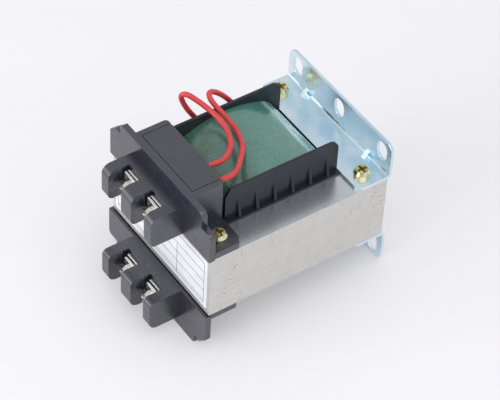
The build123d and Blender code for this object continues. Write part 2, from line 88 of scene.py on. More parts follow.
@dataclass
class NodeBoard:
    """A material's node tree with short ways to add and join nodes.

    Attributes:
        material: The material whose tree is filled.
    """

    material: bpy.types.Material

    def __post_init__(self) -> None:
        """Clears the tree and puts in the output and the main shader."""
        self.material.use_nodes = True
        self.tree = self.material.node_tree
        self.tree.nodes.clear()
        self.output = self.add("ShaderNodeOutputMaterial")
        self.shader = self.add("ShaderNodeBsdfPrincipled")
        self.join(self.shader.outputs["BSDF"], self.output.inputs["Surface"])

    def add(self, kind: str, **settings: object) -> bpy.types.Node:
        """Adds one node.

        Args:
            kind: The node's type name.
            **settings: Attributes to set on it.

        Returns:
            The new node.
        """
        node = self.tree.nodes.new(kind)
        for name, value in settings.items():
            setattr(node, name, value)
        return node

    def join(self, source: bpy.types.NodeSocket, target: bpy.types.NodeSocket) -> None:
        """Links two sockets."""
        self.tree.links.new(source, target)

    def feed(self, name: str, source: bpy.types.NodeSocket) -> None:
        """Links a socket to the main shader's input of that name."""
        self.join(source, self.shader.inputs[name])

    def fix(self, values: dict[str, float | Point]) -> None:
        """Sets values that are the same all over on the main shader's own inputs."""
        for name, value in values.items():
            self.shader.inputs[name].default_value = value

    def coordinates(self, scale: Point = (1.0, 1.0, 1.0)) -> bpy.types.NodeSocket:
        """Object coordinates, stretched by a scale.

        Args:
            scale: The factor along each axis.

        Returns:
            The vector socket.
        """
        place = self.add("ShaderNodeTexCoord")
        mapping = self.add("ShaderNodeMapping")
        mapping.inputs["Scale"].default_value = scale
        self.join(place.outputs["Object"], mapping.inputs["Vector"])
        return mapping.outputs["Vector"]

    def noise(
        self,
        size_mm: float,
        detail: float = 2.0,
        roughness: float = 0.5,
        stretch: Point = (1.0, 1.0, 1.0),
    ) -> bpy.types.NodeSocket:
        """A noise whose grains are about the given size.

        Args:
            size_mm: The size of one grain in millimetres.
            detail: The number of finer layers.
            roughness: How strong the finer layers are.
            stretch: The factor on the frequency along each axis.

        Returns:
            The factor socket, from 0 to 1.
        """
        node = self.add("ShaderNodeTexNoise")
        node.inputs["Scale"].default_value = 1.0 / (size_mm * MM)
        node.inputs["Detail"].default_value = detail
        node.inputs["Roughness"].default_value = roughness
        self.join(self.coordinates(stretch), node.inputs["Vector"])
        return node.outputs["Fac"]

    def ramp(
        self, factor: bpy.types.NodeSocket, stops: Iterable[tuple[float, Colour]]
    ) -> bpy.types.NodeSocket:
        """Colours a factor.

        Args:
            factor: The socket that is read.
            stops: Positions from 0 to 1 with their colours.

        Returns:
            The colour socket.
        """
        node = self.add("ShaderNodeValToRGB")
        places = list(stops)
        elements = node.color_ramp.elements
        while len(elements) < len(places):
            elements.new(0.5)
        for element, (position, colour) in zip(elements, places):
            element.position = position
            element.color = (*colour, 1.0)
        self.join(factor, node.inputs["Fac"])
        return node.outputs["Color"]

    def tones(self, factor: bpy.types.NodeSocket, dark: Colour, light: Colour) -> bpy.types.NodeSocket:
        """Colours a factor's middle range from a dark to a light tone.

        Args:
            factor: The socket that is read.
            dark: The colour below that range.
            light: The colour above it.

        Returns:
            The colour socket.
        """
        return self.ramp(factor, [(RAMP_FROM, dark), (RAMP_TO, light)])

    def spread(
        self,
        factor: bpy.types.NodeSocket,
        low: float,
        high: float,
        start: float = RAMP_FROM,
        end: float = RAMP_TO,
    ) -> bpy.types.NodeSocket:
        """Maps a factor's middle range onto two values.

        Args:
            factor: The socket that is read.
            low: The value at and below start.
            high: The value at and above end.
            start: Where the change begins.
            end: Where the change ends.

        Returns:
            The value socket.
        """
        node = self.add("ShaderNodeMapRange")
        node.inputs["From Min"].default_value = start
        node.inputs["From Max"].default_value = end
        node.inputs["To Min"].default_value = low
        node.inputs["To Max"].default_value = high
        self.join(factor, node.inputs["Value"])
        return node.outputs["Result"]

    def mix(
        self,
        factor: bpy.types.NodeSocket | float,
        first: bpy.types.NodeSocket | Colour,
        second: bpy.types.NodeSocket | Colour,
    ) -> bpy.types.NodeSocket:
        """Mixes two colours.

        Args:
            factor: The share of the second.
            first: A colour or a colour socket.
            second: A colour or a colour socket.

        Returns:
            The colour socket.
        """
        node = self.add("ShaderNodeMix", data_type="RGBA")
        for socket, value in ((node.inputs[0], factor), (node.inputs[6], first), (node.inputs[7], second)):
            if isinstance(value, bpy.types.NodeSocket):
                self.join(value, socket)
            elif isinstance(value, tuple):
                socket.default_value = (*value, 1.0)
            else:
                socket.default_value = value
        return node.outputs[2]

    def math(
        self,
        operation: str,
        first: bpy.types.NodeSocket | float,
        second: bpy.types.NodeSocket | float = 0.0,
    ) -> bpy.types.NodeSocket:
        """One step of arithmetic on sockets or numbers.

        Args:
            operation: Blender's name of the step.
            first: The first value.
            second: The second value.

        Returns:
            The value socket.
        """
        node = self.add("ShaderNodeMath", operation=operation)
        for socket, value in zip(node.inputs, (first, second)):
            if isinstance(value, bpy.types.NodeSocket):
                self.join(value, socket)
            else:
                socket.default_value = value
        return node.outputs["Value"]

    def bump(
        self,
        height: bpy.types.NodeSocket,
        strength: float,
        depth_mm: float,
        under: bpy.types.NodeSocket | None = None,
    ) -> bpy.types.NodeSocket:
        """Turns a height into a tilted normal.

        Args:
            height: The socket with the height, from 0 to 1.
            strength: How much of the tilt is used.
            depth_mm: The relief's depth in millimetres.
            under: The normal of a relief that this one lies on.

        Returns:
            The normal socket.
        """
        node = self.add("ShaderNodeBump")
        node.inputs["Strength"].default_value = strength
        node.inputs["Distance"].default_value = depth_mm * MM
        self.join(height, node.inputs["Height"])
        if under is not None:
            self.join(under, node.inputs["Normal"])
        return node.outputs["Normal"]

    def axis(self, name: str) -> bpy.types.NodeSocket:
        """One object coordinate, in metres.

        Args:
            name: The axis, X, Y or Z.

        Returns:
            The value socket.
        """
        split = self.add("ShaderNodeSeparateXYZ")
        self.join(self.coordinates(), split.inputs["Vector"])
        return split.outputs[name]

    def facing(self, name: str) -> bpy.types.NodeSocket:
        """One component of the surface's own normal.

        Args:
            name: The axis, X, Y or Z.

        Returns:
            The value socket.
        """
        geometry = self.add("ShaderNodeNewGeometry")
        split = self.add("ShaderNodeSeparateXYZ")
        self.join(geometry.outputs["Normal"], split.inputs["Vector"])
        return split.outputs[name]


@dataclass(frozen=True)
class MouldedPlastic:
    """Injection-moulded thermoplastic with a faint grain.

    Attributes:
        name: The material's name.
        colour: The resin's colour.
        roughness: The mean roughness of its skin.
        grain_mm: The size of the skin's grain.
        grain_depth_mm: The depth of that grain.
        specular: The strength of its reflections.
        refraction: The resin's refractive index.
        cloud_mm: The size of the patches where its colour drifts.
        tint_swing: How far it drifts, as a share of the colour.
        smear_mm: The size of the patches where its gloss drifts.
        glossier: How far the roughness falls in them.
        duller: How far it rises.
        grain_strength: How much of the grain's tilt shows.
    """

    name: str
    colour: Colour = (0.013, 0.014, 0.025)
    roughness: float = 0.42
    grain_mm: float = 0.35
    grain_depth_mm: float = 0.012
    specular: float = 0.5
    refraction: float = 1.5
    cloud_mm: float = 6.0
    tint_swing: float = 0.18
    smear_mm: float = 2.5
    glossier: float = 0.05
    duller: float = 0.07
    grain_strength: float = 0.07

    def build(self) -> bpy.types.Material:
        """Makes the material.

        Returns:
            The new material.
        """
        board = NodeBoard(bpy.data.materials.new(self.name))
        board.fix({"IOR": self.refraction, "Specular IOR Level": self.specular})
        darker = tinted(self.colour, 1 - self.tint_swing)
        lighter = tinted(self.colour, 1 + self.tint_swing)
        board.feed("Base Color", board.tones(board.noise(self.cloud_mm, 3.0), darker, lighter))
        smear = board.noise(self.smear_mm, 4.0, 0.6)
        glossy, dull = self.roughness - self.glossier, self.roughness + self.duller
        board.feed("Roughness", board.spread(smear, glossy, dull))
        grain = board.noise(self.grain_mm, 2.0)
        board.feed("Normal", board.bump(grain, self.grain_strength, self.grain_depth_mm))
        return board.material


@dataclass(frozen=True)
class PlatedSteel:
    """Sheet or turned steel with a bright plating.

    Attributes:
        name: The material's name.
        colour: The plating's main tint.
        second: The tint that it drifts to.
        roughness: The mean roughness.
        drift_mm: The size of the patches of tint.
        ripple_mm: The size of the sheet's waves.
        ripple_depth_mm: Their depth.
        smear_mm: The size of the patches where its gloss drifts.
        glossier: How far the roughness falls in them.
        duller: How far it rises.
        pit_mm: The size of the plating's pits.
        pit_depth_mm: Their depth.
        drift_span: The part of the noise over which the tint changes.
        ripple_strength: How much of the waves' tilt shows.
        pit_strength: How much of the pits' tilt shows.
    """

    name: str
    colour: Colour
    second: Colour
    roughness: float = 0.22
    drift_mm: float = 14.0
    ripple_mm: float = 9.0
    ripple_depth_mm: float = 0.05
    smear_mm: float = 1.8
    glossier: float = 0.05
    duller: float = 0.08
    pit_mm: float = 0.25
    pit_depth_mm: float = 0.006
    drift_span: Span = (0.35, 0.68)
    ripple_strength: float = 0.5
    pit_strength: float = 0.08

    def build(self) -> bpy.types.Material:
        """Makes the material.

        Returns:
            The new material.
        """
        board = NodeBoard(bpy.data.materials.new(self.name))
        drift = board.noise(self.drift_mm, 3.0, 0.55)
        start, end = self.drift_span
        board.feed("Base Color", board.ramp(drift, [(start, self.colour), (end, self.second)]))
        board.fix({"Metallic": 1.0})
        smear = board.noise(self.smear_mm, 4.0, 0.6)
        glossy, dull = self.roughness - self.glossier, self.roughness + self.duller
        board.feed("Roughness", board.spread(smear, glossy, dull))
        wave = board.noise(self.ripple_mm, 2.0)
        pit = board.noise(self.pit_mm, 2.0)
        under = board.bump(wave, self.ripple_strength, self.ripple_depth_mm)
        board.feed("Normal", board.bump(pit, self.pit_strength, self.pit_depth_mm, under))
        return board.material


@dataclass(frozen=True)
class LaminationSteel:
    """Silicon steel sheets in a stack: rolled faces, sheared, streaked and speckled edges.

    Attributes:
        name: The material's name.
        face: The colour of the rolled face.
        edge: The colour of the sheared edges.
        stain: The colour of the stains on the edges.
        sheet_mm: The thickness of one sheet.
        metal: How metallic the steel looks under its oxide.
        edge_roughness: The roughness of the sheared edges.
        face_roughness: The roughness of the rolled face.
        speckle_mm: The size of the stains.
        speckle_patch_mm: The size of the patches in which they gather.
        speckle_share: How dark they are.
        wear_mm: The size of the dull blotches on the edges.
        wear_share: How dark these are.
        rolled_mm: The size of the clouds on the rolled face.
        ripple_mm: The size of the sheet's ripples.
        ripple_depth_mm: Their depth.
        ripple_strength: How much of their tilt shows.
        face_tones: The darkest and lightest share of the rolled face's colour.
        streak_tones: The same of the streaks on the edges.
        face_span: The slopes between which an edge turns into a face.
        speckle_span: The part of the noise over which a stain appears.
        patch_span: The same of the patches in which they gather.
        wear_span: The same of the dull blotches.
    """

    name: str
    face: Colour = (0.63, 0.66, 0.69)
    edge: Colour = (0.69, 0.675, 0.65)
    stain: Colour = (0.24, 0.20, 0.17)
    sheet_mm: float = 0.5
    metal: float = 0.85
    edge_roughness: float = 0.48
    face_roughness: float = 0.25
    speckle_mm: float = 0.7
    speckle_patch_mm: float = 9.0
    speckle_share: float = 0.8
    wear_mm: float = 2.4
    wear_share: float = 0.07
    rolled_mm: float = 5.0
    ripple_mm: float = 4.0
    ripple_depth_mm: float = 0.012
    ripple_strength: float = 0.1
    face_tones: Span = (0.92, 1.06)
    streak_tones: Span = (0.98, 1.02)
    face_span: Span = (0.4, 0.6)
    speckle_span: Span = (0.67, 0.73)
    patch_span: Span = (0.52, 0.6)
    wear_span: Span = (0.42, 0.66)

    def edge_colour(self, board: NodeBoard) -> bpy.types.NodeSocket:
        """The sheared edges: a streak a sheet, dull blotches and small stains.

        Args:
            board: The material's nodes.

        Returns:
            The colour socket.
        """
        streak = board.noise(self.sheet_mm, 1.0, 0.5, (0.015, 0.015, 1.0))
        dark, light = self.streak_tones
        streaked = board.tones(streak, tinted(self.edge, dark), tinted(self.edge, light))
        spots = board.noise(self.speckle_mm, 1.0, 0.5, (0.6, 0.6, 1.0))
        patches = board.noise(self.speckle_patch_mm, 1.0, 0.5, (1.0, 1.0, 0.1))
        speckle = board.spread(spots, 0.0, self.speckle_share, *self.speckle_span)
        dots = board.math("MULTIPLY", speckle, board.spread(patches, 0.0, 1.0, *self.patch_span))
        blotch = board.noise(self.wear_mm, 3.0, 0.6, (1.0, 1.0, 0.6))
        wear = board.spread(blotch, 0.0, self.wear_share, *self.wear_span)
        worn = board.mix(wear, streaked, self.stain)
        return board.mix(dots, worn, self.stain)

    def build(self) -> bpy.types.Material:
        """Makes the material.

        Returns:
            The new material.
        """
        board = NodeBoard(bpy.data.materials.new(self.name))
        upright = board.math("ABSOLUTE", board.facing("Z"))
        on_face = board.spread(upright, 0.0, 1.0, *self.face_span)
        rolled = board.noise(self.rolled_mm, 3.0, 0.5, (0.3, 1.0, 1.0))
        dark, light = self.face_tones
        face_colour = board.tones(rolled, tinted(self.face, dark), tinted(self.face, light))
        board.feed("Base Color", board.mix(on_face, self.edge_colour(board), face_colour))
        board.fix({"Metallic": self.metal})
        board.feed("Roughness", board.spread(on_face, self.edge_roughness, self.face_roughness, 0.0, 1.0))
        ripple = board.noise(self.ripple_mm, 2.0, 0.5, (0.4, 1.0, 1.0))
        board.feed("Normal", board.bump(ripple, self.ripple_strength, self.ripple_depth_mm))
        return board.material


@dataclass(frozen=True)
class WrapTape:
    """Glossy green polyester tape over a winding, woven fine and a little wrinkled, with a painted
    reflection and painted shade in its colour.

    Attributes:
        name: The material's name.
        colour: The tape's main green.
        olive_and_shade: The olive green of the tape's patches, and the painted shade towards its front end,
            where the dark housing is mirrored.
        glint: The tint of the threads in its weave.
        edge: The tint of the pale streaks behind, painted in place of the bracket's reflection.
        front_shade_from_m: Where the painted shade at the front starts to fade, along Y.
        front_shade_to_m: Where it has gone.
        reflection_at_m: Where the painted reflection of the bracket starts, along Y.
        reflection_fade_m: How far the painted reflection takes to reach its full tint.
        cloud_mm: The size of the patches of olive.
        thread_mm: The size of the glints in the weave.
        reflection_streak_mm: The size of the streaks of the painted reflection.
        weave_mm: The pitch of the weave.
        weave_depth_mm: The weave's depth.
        wrinkle_mm: The size of the wrinkles.
        wrinkle_depth_mm: Their depth.
        front_shade_share: How much the place along Y counts in the change from olive to green: painted shade
            towards the front.
        cloud_share: How much the patches count in it.
        green_span: The sum of both over which olive gives way to green.
        glint_share: How much of the threads' tint shows in a glint.
        glint_span: The part of the noise over which a glint appears.
        shoulder_span: The slopes between which the painted reflection appears.
        reflection_streak_shares: The least and the most of the painted reflection's tint there.
        reflection_streak_span: The part of the noise over which a streak of the painted reflection appears.
        wrinkle_strength: How much of the wrinkles' tilt shows.
        weave_strength: How much of the weave's tilt shows.
    """

    name: str
    colour: Colour = (0.046, 0.190, 0.148)
    # The tape's olive, used both for its random patches and for painted shade towards the front.
    olive_and_shade: Colour = (0.026, 0.098, 0.044)
    glint: Colour = (0.15, 0.33, 0.28)
    # Painted reflection: this pale tint stands in for the bracket mirrored in the tape's rear shoulder.
    edge: Colour = (0.38, 0.62, 0.62)
    front_shade_from_m: float = -0.050
    front_shade_to_m: float = -0.034
    reflection_at_m: float = -0.0215
    reflection_fade_m: float = 0.0015
    cloud_mm: float = 6.0
    thread_mm: float = 0.32
    reflection_streak_mm: float = 2.2
    weave_mm: float = 0.45
    weave_depth_mm: float = 0.03
    wrinkle_mm: float = 3.2
    wrinkle_depth_mm: float = 0.1
    front_shade_share: float = 0.55
    cloud_share: float = 0.6
    green_span: Span = (0.15, 0.85)
    glint_share: float = 0.75
    glint_span: Span = (0.51, 0.71)
    shoulder_span: Span = (0.62, 0.86)
    reflection_streak_shares: Span = (0.15, 0.9)
    reflection_streak_span: Span = (0.42, 0.56)
    wrinkle_strength: float = 0.4
    weave_strength: float = 0.5

    def green(self, board: NodeBoard, length: bpy.types.NodeSocket) -> bpy.types.NodeSocket:
        """The tape's greens: olive patches, painted shade towards the front, and the glints of its weave.

        Args:
            board: The material's nodes.
            length: The place along Y.

        Returns:
            The colour socket.
        """
        # Painted shade: the tape turns olive towards its front end, where the dark housing is mirrored in
        # it.
        front = board.spread(length, 0.0, self.front_shade_share, self.front_shade_from_m, self.front_shade_to_m)
        cloud = board.noise(self.cloud_mm, 4.0, 0.6)
        share = board.math("ADD", front, board.spread(cloud, 0.0, self.cloud_share))
        start, end = self.green_span
        tint = board.ramp(share, [(start, self.olive_and_shade), (end, self.colour)])
        thread = board.noise(self.thread_mm, 1.0, 0.6)
        return board.mix(board.spread(thread, 0.0, self.glint_share, *self.glint_span), tint, self.glint)

    def painted_reflection_share(self, board: NodeBoard, length: bpy.types.NodeSocket) -> bpy.types.NodeSocket:
        """Where the painted reflection of the bracket lies, on the rear shoulder alone.

        Args:
            board: The material's nodes.
            length: The place along Y.

        Returns:
            The value socket, from 0 to 1.
        """
        streak = board.noise(self.reflection_streak_mm, 3.0, 0.6, (0.25, 2.0, 1.0))
        rear = board.spread(length, 0.0, 1.0, self.reflection_at_m, self.reflection_at_m + self.reflection_fade_m)
        raised = board.spread(board.facing("Z"), 0.0, 1.0, *self.shoulder_span)
        shoulder = board.math("MULTIPLY", rear, raised)
        return board.math("MULTIPLY", shoulder, board.spread(streak, *self.reflection_streak_shares, *self.reflection_streak_span))

    def build(self) -> bpy.types.Material:
        """Makes the material.

        Returns:
            The new material.
        """
        board = NodeBoard(bpy.data.materials.new(self.name))
        length = board.axis("Y")
        # Painted reflection: the bracket's pale image is mixed into the colour on the rear shoulder.
        pale = self.painted_reflection_share(board, length)
        board.feed("Base Color", board.mix(pale, self.green(board, length), self.edge))
        board.fix({
            "Roughness": 0.34,
            "Specular IOR Level": 0.6,
            "Coat Weight": 1.0,
            "Coat IOR": 1.65,
            "Coat Roughness": 0.15,
        })
        wrinkle = board.noise(self.wrinkle_mm, 3.0, 0.55, (1.0, 0.5, 1.0))
        weave = board.noise(self.weave_mm, 1.0, 0.6, (1.0, 0.7, 1.0))
        under = board.bump(wrinkle, self.wrinkle_strength, self.wrinkle_depth_mm)
        board.feed("Normal", board.bump(weave, self.weave_strength, self.weave_depth_mm, under))
        return board.material


@dataclass(frozen=True)
class WireInsulation:
    """Soft, glossy insulation of a single-core lead.

    Attributes:
        name: The material's name.
        colour: The insulation's colour.
        cloud_mm: The size of the patches where it is darker.
        scuff_mm: The size of its scuffs.
        scuff_depth_mm: Their depth.
        scuff_strength: How much of their tilt shows.
        cloud_tone: The share of the colour that is left in those patches.
    """

    name: str
    colour: Colour = (0.72, 0.06, 0.062)
    cloud_mm: float = 2.5
    scuff_mm: float = 0.5
    scuff_depth_mm: float = 0.01
    scuff_strength: float = 0.2
    cloud_tone: float = 0.88

    def build(self) -> bpy.types.Material:
        """Makes the material.

        Returns:
            The new material.
        """
        board = NodeBoard(bpy.data.materials.new(self.name))
        cloud = board.noise(self.cloud_mm, 3.0)
        board.feed("Base Color", board.tones(cloud, tinted(self.colour, self.cloud_tone), self.colour))
        board.fix({
            "Roughness": 0.34,
            "Subsurface Weight": 0.12,
            "Subsurface Radius": (0.0012, 0.0004, 0.0003),
        })
        scuff = board.noise(self.scuff_mm, 3.0)
        board.feed("Normal", board.bump(scuff, self.scuff_strength, self.scuff_depth_mm))
        return board.material


@dataclass(frozen=True)
class CopperWire:
    """Enamelled copper wire, wound in close turns.

    Attributes:
        name: The material's name.
        colour: The enamel over the copper.
        pitch_mm: The distance between turns.
        turn_depth_mm: The depth of the groove between them.
        tone_mm: The size of the patches where it is darker.
        tone_share: The share of the colour that is left in them.
        turn_strength: How much of the turns' tilt shows.
    """

    name: str
    colour: Colour = (0.62, 0.25, 0.10)
    pitch_mm: float = 0.4
    turn_depth_mm: float = 0.1
    tone_mm: float = 3.0
    tone_share: float = 0.7
    turn_strength: float = 0.8

    def build(self) -> bpy.types.Material:
        """Makes the material.

        Returns:
            The new material.
        """
        board = NodeBoard(bpy.data.materials.new(self.name))
        tone = board.noise(self.tone_mm, 3.0)
        board.feed("Base Color", board.tones(tone, tinted(self.colour, self.tone_share), self.colour))
        board.fix({"Metallic": 0.9, "Roughness": 0.3})
        turns = board.add("ShaderNodeTexWave", wave_type="BANDS", bands_direction="X")
        turns.inputs["Scale"].default_value = WAVE_LENGTH / (self.pitch_mm * MM)
        board.join(board.coordinates(), turns.inputs["Vector"])
        board.feed("Normal", board.bump(turns.outputs["Fac"], self.turn_strength, self.turn_depth_mm))
        return board.material


@dataclass(frozen=True)
class LabelFilm:
    """The pale film of a bare rating label, without any print.

    Attributes:
        name: The material's name.
        paper: The film's colour.
        cloud_mm: The size of the patches where it is darker.
        curl_mm: The size of its waves.
        curl_depth_mm: Their depth.
        curl_strength: How much of their tilt shows.
        cloud_tone: The share of the colour that is left in those patches.
    """

    name: str
    paper: Colour = (0.85, 0.87, 0.90)
    cloud_mm: float = 9.0
    curl_mm: float = 8.0
    curl_depth_mm: float = 0.05
    curl_strength: float = 0.3
    cloud_tone: float = 0.95

    def build(self) -> bpy.types.Material:
        """Makes the material.

        Returns:
            The new material.
        """
        board = NodeBoard(bpy.data.materials.new(self.name))
        cloud = board.noise(self.cloud_mm, 3.0)
        board.feed("Base Color", board.tones(cloud, tinted(self.paper, self.cloud_tone), self.paper))
        board.fix({"Roughness": 0.32, "Coat Weight": 0.4, "Coat Roughness": 0.15})
        curl = board.noise(self.curl_mm, 2.0)
        board.feed("Normal", board.bump(curl, self.curl_strength, self.curl_depth_mm))
        return board.material


@dataclass(frozen=True)
class StudioPaper:
    """Seamless pale paper that the transformer stands on.

    Attributes:
        name: The material's name.
        colour: The paper's colour.
        seen: The tone that the camera and the metal see.
        seen_share: How much of that tone holds in shadow too.
        cloud_mm: The size of the patches where it is darker.
        cloud_tone: The share of the colour that is left in them.
    """

    name: str
    colour: Colour = (0.89, 0.875, 0.895)
    seen: Colour = (0.95, 0.93, 0.955)
    seen_share: float = 0.3
    cloud_mm: float = 60.0
    cloud_tone: float = 0.985

    def build(self) -> bpy.types.Material:
        """Makes the material, part of whose tone the camera and the metal see whatever the light.

        Returns:
            The new material.
        """
        board = NodeBoard(bpy.data.materials.new(self.name))
        cloud = board.noise(self.cloud_mm, 2.0)
        board.feed("Base Color", board.tones(cloud, tinted(self.colour, self.cloud_tone), self.colour))
        board.fix({"Roughness": 0.85, "Specular IOR Level": 0.2})
        path = board.add("ShaderNodeLightPath")
        rays = board.math("MAXIMUM", path.outputs["Is Camera Ray"], path.outputs["Is Glossy Ray"])
        rays = board.math("MAXIMUM", rays, path.outputs["Is Transmission Ray"])
        glow = board.add("ShaderNodeEmission")
        glow.inputs["Color"].default_value = (*self.seen, 1.0)
        blend = board.add("ShaderNodeMixShader")
        board.join(board.math("MULTIPLY", rays, self.seen_share), blend.inputs[0])
        board.join(board.shader.outputs["BSDF"], blend.inputs[1])
        board.join(glow.outputs["Emission"], blend.inputs[2])
        board.join(blend.outputs["Shader"], board.output.inputs["Surface"])
        return board.material


class Finishes:
    """Every finish of the transformer, each made once."""

    def __init__(self) -> None:
        """Makes the materials."""
        self.block = MouldedPlastic(
            "block_plastic", (0.011, 0.013, 0.026), 0.29, specular=1.0, refraction=1.6
        ).build()
        self.bobbin = MouldedPlastic("bobbin_plastic", (0.013, 0.017, 0.026), 0.34, 0.5).build()
        self.zinc = PlatedSteel("bluish_zinc", (0.60, 0.77, 0.88), (0.82, 0.92, 0.96), 0.21).build()
        self.yellow_zinc = PlatedSteel(
            "yellow_zinc", (0.58, 0.50, 0.20), (0.86, 0.82, 0.58), 0.2, 1.2, 0.9, 0.03
        ).build()
        self.nickel = PlatedSteel(
            "bright_nickel", (0.72, 0.70, 0.66), (0.90, 0.88, 0.84), 0.13, 1.5, 1.2, 0.03
        ).build()
        self.laminations = LaminationSteel("lamination_sheets").build()
        self.tape = WrapTape("green_tape").build()
        self.lead = WireInsulation("red_insulation").build()
        self.copper = CopperWire("enamelled_copper").build()
        self.film = MouldedPlastic("insulation_film", (0.62, 0.5, 0.26), 0.35, 2.0, 0.02).build()
        self.label = LabelFilm("bare_label").build()
        self.ink = MouldedPlastic("ruled_ink", (0.16, 0.18, 0.22), 0.4, 1.0, 0.004).build()
        self.paper = StudioPaper("pale_paper").build()


def dress(node: bpy.types.Object, finish: bpy.types.Material) -> bpy.types.Object:
    """Puts one finish on every face of a piece.

    Args:
        node: The piece.
        finish: Its material.

    Returns:
        The same piece.
    """
    node.data.materials.clear()
    node.data.materials.append(finish)
    return node


def soften(node: bpy.types.Object, width_mm: float, segments: int = 2) -> bpy.types.Object:
    """Rounds the sharp edges of a moulded or pressed piece with modifiers.

    Args:
        node: The piece.
        width_mm: The width of the rounding.
        segments: The number of faces across it.

    Returns:
        The same piece.
    """
    weld = node.modifiers.new("weld", "WELD")
    weld.merge_threshold = WELD_M
    bevel = node.modifiers.new("edge_rounding", "BEVEL")
    bevel.width = width_mm * MM
    bevel.segments = segments
    bevel.limit_method = "ANGLE"
    bevel.angle_limit = math.radians(SHARP_DEG)
    bevel.use_clamp_overlap = True
    bevel.harden_normals = False
    even = node.modifiers.new("even_shading", "WEIGHTED_NORMAL")
    even.keep_sharp = False
    even.weight = SHADING_WEIGHT
    return node


def piece_from_mesh(name: str, mesh: bmesh.types.BMesh, finish: bpy.types.Material) -> bpy.types.Object:
    """Turns a finished bmesh into a piece that rides on the transformer.

    Args:
        name: The piece's name.
        mesh: Its mesh, which is freed.
        finish: Its material.

    Returns:
        The new piece.
    """
    data = bpy.data.meshes.new(name)
    mesh.to_mesh(data)
    mesh.free()
    piece = bpy.data.objects.new(name, data)
    bpy.context.scene.collection.objects.link(piece)
    data.materials.append(finish)
    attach(piece, "root")
    return piece


@dataclass
class Core:
    """Stack of E and I laminations, each sheet a little out of line with the next.

    Attributes:
        finish: The steel's material.
        length: The stack's size along Y, in millimetres like all sizes here.
        width: Its size along X.
        height: Its size along Z.
        tongue: The width of the E's middle leg.
        leg: The width of its outer legs.
        yoke: The width of the yokes.
        centre_y: The stack's middle along Y.
        bolt_x: The bolt holes' distance from the middle along X.
        bolt_y: Their distance from it along Y.
        hole_radius: The bolt holes' radius.
        sheet: The thickness of one sheet.
        gap: The gap between two sheets.
        packet: The number of sheets that are turned the same way.
        shift: How far a sheet may be out of line.
        hole_sides: The number of faces round a bolt hole.
        seed: The seed of the sheets' small shifts.
    """

    finish: bpy.types.Material
    length: float = 66.0
    width: float = 55.0
    height: float = 24.5
    tongue: float = 22.0
    leg: float = 11.0
    yoke: float = 11.0
    centre_y: float = -34.5
    bolt_x: float = 22.2
    bolt_y: float = 26.8
    hole_radius: float = 1.75
    sheet: float = 0.5
    gap: float = 0.012
    packet: int = 7
    shift: float = 0.02
    hole_sides: int = 16
    seed: int = 66

    def outline(self, kind: str, yoke_side: int) -> list[tuple[float, float]]:
        """Corners of one sheet, in millimetres.

        Args:
            kind: E or I.
            yoke_side: -1 for the yoke at the left, 1 for the right.

        Returns:
            The corners in order.
        """
        half_x, half_y = self.width / 2, self.length / 2
        low = half_x - self.yoke
        if kind == "I":
            bar = ((half_x, -half_y), (half_x, half_y), (low, half_y), (low, -half_y))
            return [(yoke_side * x, y) for x, y in bar]
        tongue = self.tongue / 2
        inner = half_y - self.leg
        corners = [
            (half_x, -half_y), (half_x, half_y), (-low, half_y), (-low, inner), (low, inner), (low, tongue),
            (-low, tongue), (-low, -tongue), (low, -tongue), (low, -inner), (-low, -inner), (-low, -half_y),
        ]
        return [(yoke_side * x, y) for x, y in corners]

    def sheet_template(self, kind: str, yoke_side: int) -> bmesh.types.BMesh:
        """One sheet with its two bolt holes, lying from height 0 up.

        Args:
            kind: E or I.
            yoke_side: Which side its yoke is on.

        Returns:
            The mesh, in metres.
        """
        mesh = bmesh.new()
        rings = [self.outline(kind, yoke_side)]
        for y in (-self.bolt_y, self.bolt_y):
            rings.append([
                (
                    yoke_side * self.bolt_x + self.hole_radius * math.cos(turn),
                    y + self.hole_radius * math.sin(turn),
                )
                for turn in (2 * math.pi * i / self.hole_sides for i in range(self.hole_sides))
            ])
        edges = []
        for ring in rings:
            points = [mesh.verts.new((x * MM, y * MM, 0.0)) for x, y in ring]
            edges += [mesh.edges.new((a, b)) for a, b in zip(points, points[1:] + points[:1])]
        bmesh.ops.triangle_fill(mesh, edges=edges, use_beauty=True)
        bmesh.ops.recalc_face_normals(mesh, faces=mesh.faces)
        grown = bmesh.ops.extrude_face_region(mesh, geom=list(mesh.faces))
        tops = [v for v in grown["geom"] if isinstance(v, bmesh.types.BMVert)]
        bmesh.ops.translate(mesh, verts=tops, vec=(0, 0, (self.sheet - self.gap) * MM))
        bmesh.ops.recalc_face_normals(mesh, faces=mesh.faces)
        return mesh

    def build(self) -> list[bpy.types.Object]:
        """Stacks the sheets and puts them in the CAD packets' place.

        Returns:
            All E sheets as one piece, then all I sheets.
        """
        drift = random.Random(self.seed)
        count = round(self.height / self.sheet)
        made = []
        for kind, node in (("E", "e_laminations"), ("I", "i_laminations")):
            stack = bmesh.new()
            for layer in range(count):
                packet = layer // self.packet
                side = -1 if packet % 2 == 0 else 1
                sheet = self.sheet_template(kind, side if kind == "E" else -side)
                outer = layer in (0, count - 1)
                shift_x = 0.0 if outer else drift.uniform(-self.shift, self.shift)
                shift_y = 0.0 if outer else drift.uniform(-self.shift, self.shift)
                low = -self.height / 2 + layer * self.sheet
                low += self.gap if layer == count - 1 else 0.0
                place = Matrix.Translation((shift_x * MM, (self.centre_y + shift_y) * MM, low * MM))
                bmesh.ops.transform(sheet, matrix=place, verts=sheet.verts)
                lump = bpy.data.meshes.new("sheet")
                sheet.to_mesh(lump)
                sheet.free()
                stack.from_mesh(lump)
                bpy.data.meshes.remove(lump)
            piece = piece_from_mesh(f"{kind.lower()}_sheets", stack, self.finish)
            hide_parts(node)
            made.append(piece)
        return made


